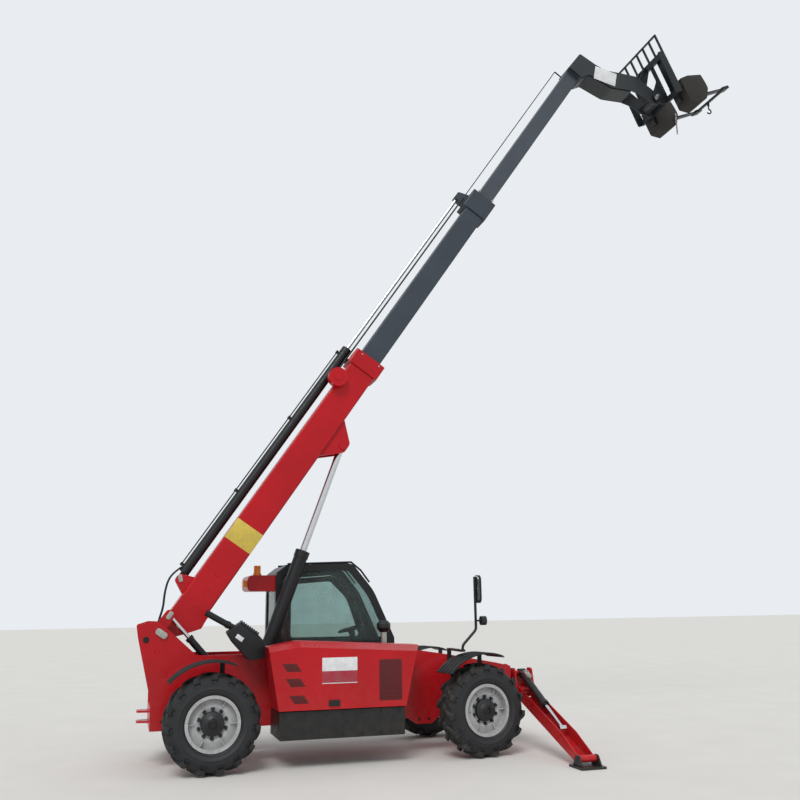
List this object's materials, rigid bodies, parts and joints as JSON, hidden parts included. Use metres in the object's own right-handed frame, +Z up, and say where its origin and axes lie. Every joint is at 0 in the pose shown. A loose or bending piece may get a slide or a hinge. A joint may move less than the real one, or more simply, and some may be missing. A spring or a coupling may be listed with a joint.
{
  "type": "telehandler",
  "caption": "Telescopic handler with a raised telescopic boom, fork carriage, side cab, engine hood, steered axles and folding front stabilisers.",
  "frame": {"origin": "on the ground, under the middle of the machine's box", "axes": "+X is the driving direction, +Y is the machine's left side with the cab, +Z is up"},
  "size_m": [9.9265, 4.74, 11.8117],
  "materials": {
    "red_paint": "gloss paint",
    "grey_blue_paint": "satin paint",
    "dark_grey_paint": "satin paint",
    "black_plastic": "moulded, textured",
    "black_steel": "satin black paint",
    "tyre_rubber": "moulded rubber",
    "rim_paint": "satin paint",
    "rod_chrome": "hard chrome",
    "window_glass": "tinted safety glass",
    "seat_vinyl": "vinyl",
    "lamp_plastic": "moulded"
  },
  "bodies": {
    "chassis": {"frame": "red_paint", "rear_axle": "dark_grey_paint", "front_axle": "dark_grey_paint", "engine_block": "dark_grey_paint", "engine_tray": "black_steel", "silencer": "black_steel", "pre_cleaner": "black_plastic", "mirror_mast": "black_steel", "cab_shell": "red_paint", "cab_glass": "window_glass", "seat": "seat_vinyl", "steering_column": "black_plastic", "roof_box": "red_paint", "lamps": "lamp_plastic"},
    "boom": {"outer_boom": "red_paint", "tele_barrel": "grey_blue_paint"},
    "section_two": {"section_two": "grey_blue_paint", "tele_rod": "rod_chrome"},
    "section_three": {"section_three": "grey_blue_paint"},
    "carriage": {"carriage": "dark_grey_paint", "forks": "black_steel"},
    "lift_barrel": {"lift_barrel": "grey_blue_paint"},
    "lift_rod": {"lift_rod": "rod_chrome"},
    "comp_barrel": {"comp_barrel": "grey_blue_paint"},
    "comp_rod": {"comp_rod": "rod_chrome"},
    "tilt_barrel": {"tilt_barrel": "dark_grey_paint"},
    "tilt_rod": {"tilt_rod": "rod_chrome"},
    "hood": {"hood": "red_paint"},
    "cab_door": {"cab_door": "red_paint", "door_glass": "window_glass"},
    "stabiliser_leg_right": {"stabiliser_leg_right": "red_paint"},
    "stabiliser_foot_right": {"stabiliser_foot_right": "black_steel"},
    "ram_barrel_right": {"ram_barrel_right": "dark_grey_paint"},
    "ram_rod_right": {"ram_rod_right": "rod_chrome"},
    "stabiliser_leg_left": {"stabiliser_leg_left": "red_paint"},
    "stabiliser_foot_left": {"stabiliser_foot_left": "black_steel"},
    "ram_barrel_left": {"ram_barrel_left": "dark_grey_paint"},
    "ram_rod_left": {"ram_rod_left": "rod_chrome"},
    "knuckle_front_right": {"knuckle_front_right": "black_plastic"},
    "wheel_front_right": {"tyre_front_right": "tyre_rubber", "rim_front_right": "rim_paint"},
    "knuckle_front_left": {"knuckle_front_left": "black_plastic"},
    "wheel_front_left": {"tyre_front_left": "tyre_rubber", "rim_front_left": "rim_paint"},
    "knuckle_rear_right": {"knuckle_rear_right": "black_plastic"},
    "wheel_rear_right": {"tyre_rear_right": "tyre_rubber", "rim_rear_right": "rim_paint"},
    "knuckle_rear_left": {"knuckle_rear_left": "black_plastic"},
    "wheel_rear_left": {"tyre_rear_left": "tyre_rubber", "rim_rear_left": "rim_paint"}
  },
  "joints": [
    {"name": "boom_lift", "type": "hinge", "parent": "chassis", "child": "boom", "pos_m": [-4.67807, 0, 1.63], "axis": [0, -1, 0], "range_deg": [-53.2, 12.3]},
    {"name": "section_two_extend", "type": "slide", "parent": "boom", "child": "section_two", "axis": [0.5635, 0, 0.8261], "range_m": [-2.9, 0.45]},
    {"name": "section_three_extend", "type": "slide", "parent": "section_two", "child": "section_three", "axis": [0.5635, 0, 0.8261], "range_m": [-2.9, 0.45]},
    {"name": "carriage_tilt", "type": "hinge", "parent": "section_three", "child": "carriage", "pos_m": [3.55341, 0, 10.80972], "axis": [0, -1, 0], "range_deg": [-90, 40]},
    {"name": "lift_barrel_pivot", "type": "hinge", "parent": "chassis", "child": "lift_barrel", "pos_m": [-3.5646, 0, 0.53251], "axis": [0, -1, 0], "range_deg": [-51.57, 12.31]},
    {"name": "lift_rod_slide", "type": "slide", "parent": "lift_barrel", "child": "lift_rod", "axis": [0.342, 0, 0.9397], "range_m": [-1.3957, 0.32423]},
    {"name": "comp_barrel_pivot", "type": "hinge", "parent": "chassis", "child": "comp_barrel", "pos_m": [-3.90807, -0.3, 1.1], "axis": [0, -1, 0], "range_deg": [-0.75, 1.56]},
    {"name": "comp_rod_slide", "type": "slide", "parent": "comp_barrel", "child": "comp_rod", "axis": [-0.6646, 0, 0.7472], "range_m": [-0.21742, 0.0518]},
    {"name": "tilt_barrel_pivot", "type": "hinge", "parent": "section_three", "child": "tilt_barrel", "pos_m": [2.0914, 0, 11.12068], "axis": [0, -1, 0], "range_deg": [-1.85, 1.1]},
    {"name": "tilt_rod_slide", "type": "slide", "parent": "tilt_barrel", "child": "tilt_rod", "axis": [0.9997, 0, 0.0227], "range_m": [-0.21423, 0.47952]},
    {"name": "stabiliser_right", "type": "hinge", "parent": "chassis", "child": "stabiliser_leg_right", "pos_m": [0.31193, -0.45, 0.75], "axis": [-1, 0, 0], "range_deg": [0, 88]},
    {"name": "ram_barrel_pivot_right", "type": "hinge", "parent": "chassis", "child": "ram_barrel_right", "pos_m": [0.31193, -0.425, 0.985], "axis": [-1, 0, 0], "range_deg": [-0.5, 88.5]},
    {"name": "ram_rod_slide_right", "type": "slide", "parent": "ram_barrel_right", "child": "ram_rod_right", "axis": [0, -0.8858, -0.4641], "range_m": [-0.31686, 0.002]},
    {"name": "stabiliser_foot_right", "type": "hinge", "parent": "stabiliser_leg_right", "child": "stabiliser_foot_right", "pos_m": [0.31193, -2.2, 0.1], "axis": [1, 0, 0], "range_deg": [-12, 12]},
    {"name": "stabiliser_left", "type": "hinge", "parent": "chassis", "child": "stabiliser_leg_left", "pos_m": [0.31193, 0.45, 0.75], "axis": [1, 0, 0], "range_deg": [0, 88]},
    {"name": "ram_barrel_pivot_left", "type": "hinge", "parent": "chassis", "child": "ram_barrel_left", "pos_m": [0.31193, 0.425, 0.985], "axis": [1, 0, 0], "range_deg": [-0.5, 88.5]},
    {"name": "ram_rod_slide_left", "type": "slide", "parent": "ram_barrel_left", "child": "ram_rod_left", "axis": [0, 0.8858, -0.4641], "range_m": [-0.31686, 0.002]},
    {"name": "stabiliser_foot_left", "type": "hinge", "parent": "stabiliser_leg_left", "child": "stabiliser_foot_left", "pos_m": [0.31193, 2.2, 0.1], "axis": [1, 0, 0], "range_deg": [-12, 12]},
    {"name": "steer_front_right", "type": "hinge", "parent": "chassis", "child": "knuckle_front_right", "pos_m": [-0.59407, -0.76, 0.585], "axis": [0, 0, 1], "range_deg": [-38, 22]},
    {"name": "spin_front_right", "type": "hinge", "parent": "knuckle_front_right", "child": "wheel_front_right", "pos_m": [-0.56066, -0.99766, 0.585], "axis": [-0.1392, 0.9903, 0], "continuous": true},
    {"name": "steer_front_left", "type": "hinge", "parent": "chassis", "child": "knuckle_front_left", "pos_m": [-0.59407, 0.76, 0.585], "axis": [0, 0, 1], "range_deg": [-38.01, 22.01]},
    {"name": "spin_front_left", "type": "hinge", "parent": "knuckle_front_left", "child": "wheel_front_left", "pos_m": [-0.62747, 0.99766, 0.585], "axis": [-0.1392, 0.9903, 0], "continuous": true},
    {"name": "steer_rear_right", "type": "hinge", "parent": "chassis", "child": "knuckle_rear_right", "pos_m": [-4.05807, -0.76, 0.585], "axis": [0, 0, 1], "range_deg": [-30, 30]},
    {"name": "spin_rear_right", "type": "hinge", "parent": "knuckle_rear_right", "child": "wheel_rear_right", "pos_m": [-4.05807, -1, 0.585], "axis": [0, 1, 0], "continuous": true},
    {"name": "steer_rear_left", "type": "hinge", "parent": "chassis", "child": "knuckle_rear_left", "pos_m": [-4.05807, 0.76, 0.585], "axis": [0, 0, 1], "range_deg": [-30.01, 30.01]},
    {"name": "spin_rear_left", "type": "hinge", "parent": "knuckle_rear_left", "child": "wheel_rear_left", "pos_m": [-4.05807, 1, 0.585], "axis": [0, 1, 0], "continuous": true},
    {"name": "cab_door_hinge", "type": "hinge", "parent": "chassis", "child": "cab_door", "pos_m": [-2.82007, 1.19, 1.6], "axis": [0, 0, 1], "range_deg": [0, 90]},
    {"name": "hood_hinge", "type": "hinge", "parent": "chassis", "child": "hood", "pos_m": [-2.45807, -0.59, 1.38], "axis": [-1, 0, 0], "range_deg": [0, 60]}
  ],
  "couplings": [
    {"joint": "section_three_extend", "follows": "section_two_extend", "ratio": 1},
    {"joint": "lift_barrel_pivot", "follows": "boom_lift", "ratio": 0.96},
    {"joint": "lift_rod_slide", "follows": "boom_lift", "m_per_rad": 1.501},
    {"joint": "comp_barrel_pivot", "follows": "boom_lift", "ratio": -0.02},
    {"joint": "comp_rod_slide", "follows": "boom_lift", "m_per_rad": 0.232},
    {"joint": "tilt_barrel_pivot", "follows": "carriage_tilt", "ratio": 0.015},
    {"joint": "tilt_rod_slide", "follows": "carriage_tilt", "m_per_rad": -0.304},
    {"joint": "ram_barrel_pivot_right", "follows": "stabiliser_right", "ratio": 1},
    {"joint": "ram_rod_slide_right", "follows": "stabiliser_right", "m_per_rad": -0.205},
    {"joint": "ram_barrel_pivot_left", "follows": "stabiliser_left", "ratio": 1},
    {"joint": "ram_rod_slide_left", "follows": "stabiliser_left", "m_per_rad": -0.205},
    {"joint": "steer_front_left", "follows": "steer_front_right", "ratio": 1},
    {"joint": "steer_rear_left", "follows": "steer_rear_right", "ratio": 1}
  ]
}
